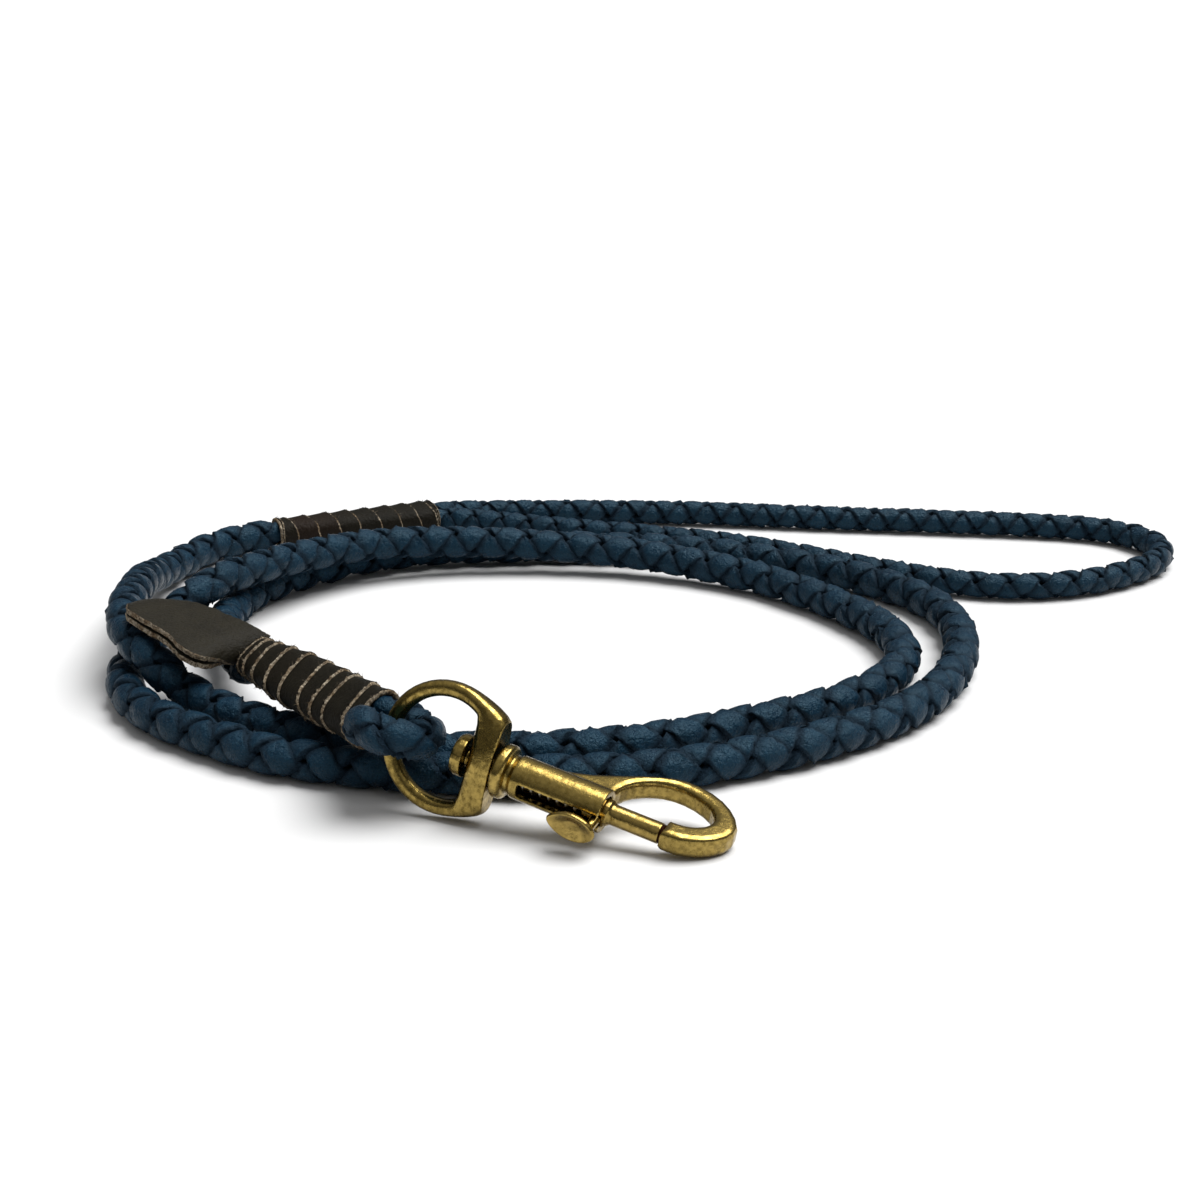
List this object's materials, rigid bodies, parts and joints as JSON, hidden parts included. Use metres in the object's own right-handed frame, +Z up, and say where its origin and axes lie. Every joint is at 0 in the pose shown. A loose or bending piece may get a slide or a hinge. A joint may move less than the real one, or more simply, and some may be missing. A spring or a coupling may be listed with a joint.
{
  "type": "lead rope",
  "caption": "Coiled round-braided leather lead with a leather-wrapped handle loop at one end and a swivel-eye bolt snap held by a leather loop at the other.",
  "frame": {"origin": "on the ground, under the middle of the fittings: the snap, its wrap and tag, and the handle wrap", "axes": "+Z up from the ground the lead lies on, +Y from the snap towards the handle wrap at the back, +X towards the tip of the handle loop"},
  "size_m": [0.2557, 0.2158, 0.0252],
  "materials": {
    "navy leather": "soft sheen",
    "brown leather": "smooth, with raw cream edges",
    "waxed thread": "matte",
    "brass": "cast, worn and tarnished",
    "spring steel": "plain wire"
  },
  "bodies": {
    "lead": {"lead_braid": "navy leather", "handle_braid": "navy leather", "snap_loop_braid": "navy leather", "snap_wrap": "brown leather", "handle_wrap": "brown leather", "handle_binding": "waxed thread", "tag_upper": "brown leather", "tag_lower": "brown leather"},
    "eye": {"swivel_eye": "brass"},
    "snap": {"snap_body": "brass", "swivel_post": "brass", "bolt_spring": "spring steel"},
    "bolt": {"bolt": "brass", "thumb_knob": "brass"}
  },
  "joints": [
    {"name": "eye_slip", "type": "hinge", "parent": "lead", "child": "eye", "pos_m": [0.00957, -0.0855, 0.0129], "axis": [-0.3582, -0.9181, 0.1695], "range_deg": [0, 60]},
    {"name": "swivel_turn", "type": "hinge", "parent": "eye", "child": "snap", "pos_m": [0.00957, -0.0855, 0.0129], "axis": [0.8953, -0.3893, -0.2164], "continuous": true},
    {"name": "bolt_slide", "type": "slide", "parent": "snap", "child": "bolt", "axis": [-0.8953, 0.3893, 0.2164], "range_m": [0, 0.009], "stiffness_N_per_m": 300, "springref_m": -0.006, "deforming": ["bolt_spring"]}
  ]
}
